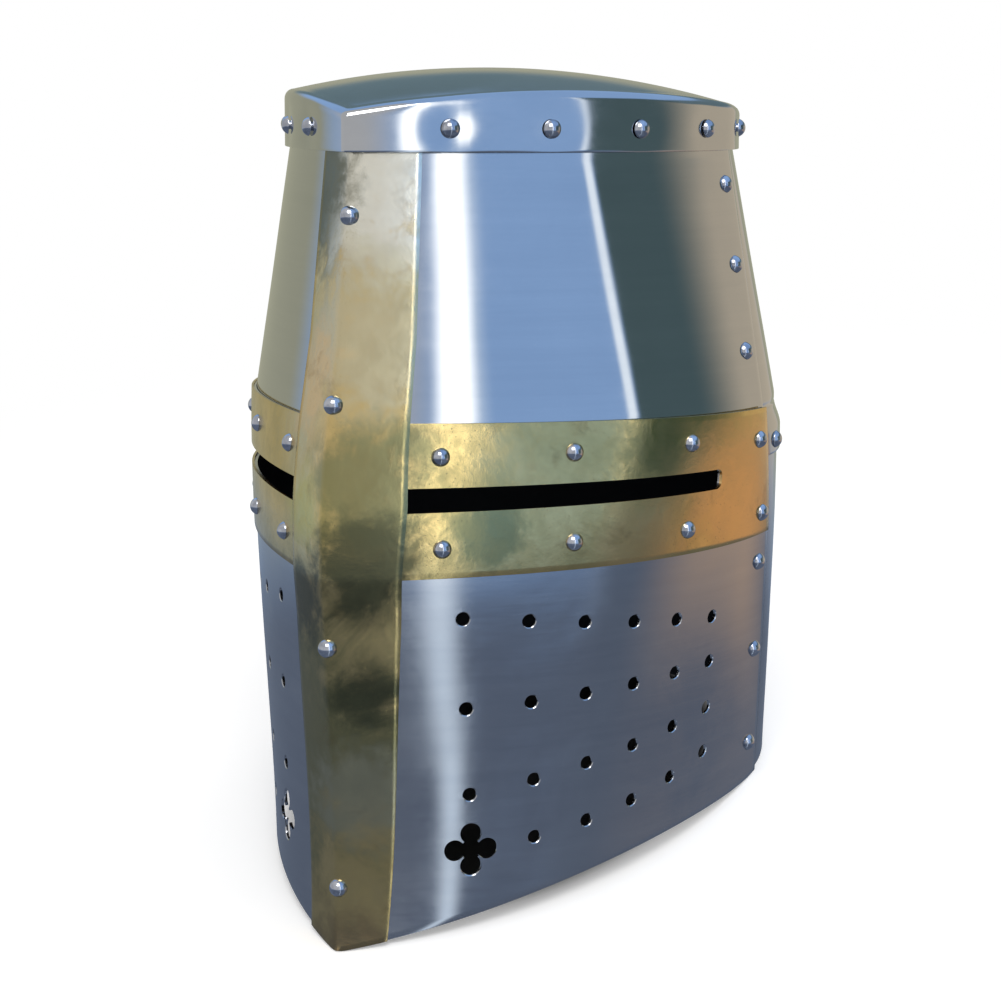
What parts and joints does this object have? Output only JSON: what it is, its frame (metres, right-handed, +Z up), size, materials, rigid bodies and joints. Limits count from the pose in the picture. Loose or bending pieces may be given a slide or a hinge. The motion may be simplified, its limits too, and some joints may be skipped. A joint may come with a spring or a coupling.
{
  "type": "great helm",
  "caption": "Medieval great helm of riveted steel plates with a keeled face, eye slits, a brass cross, breathing holes and a leather lining.",
  "frame": {"origin": "middle plane of the helm, level with the lowest point of the keel, on the axis of the head opening", "axes": "+Z up, -Y to the keel of the face, +X to the wearer's left"},
  "size_m": [0.2314, 0.2672, 0.3315],
  "materials": {
    "steel_plate": "satin, brushed and lightly worn",
    "brass_cross": "aged, mottled satin",
    "steel_rivet": "polished round heads",
    "liner_leather": "vegetable tanned, matt",
    "liner_metal": "plain washers and rivets"
  },
  "bodies": {
    "root": {"brow_band": "brass_cross", "brow_lower_rivets": "steel_rivet", "brow_upper_rivets": "steel_rivet", "crown_cap": "steel_plate", "crown_rivets": "steel_rivet", "keel_rivets": "steel_rivet", "keel_strip": "brass_cross", "left_seam_rivets": "steel_rivet", "liner_band": "liner_leather", "liner_crown_disc": "liner_leather", "liner_crown_rivets": "liner_metal", "liner_tongue_1": "liner_leather", "liner_tongue_2": "liner_leather", "liner_tongue_3": "liner_leather", "liner_tongue_4": "liner_leather", "liner_tongue_5": "liner_leather", "liner_tongue_6": "liner_leather", "liner_tongue_7": "liner_leather", "liner_tongue_8": "liner_leather", "liner_washers": "liner_metal", "lower_back_plate": "steel_plate", "lower_front_plate": "steel_plate", "rear_brow_rivets": "steel_rivet", "right_seam_rivets": "steel_rivet", "upper_back_plate": "steel_plate", "upper_front_plate": "steel_plate"}
  },
  "joints": []
}
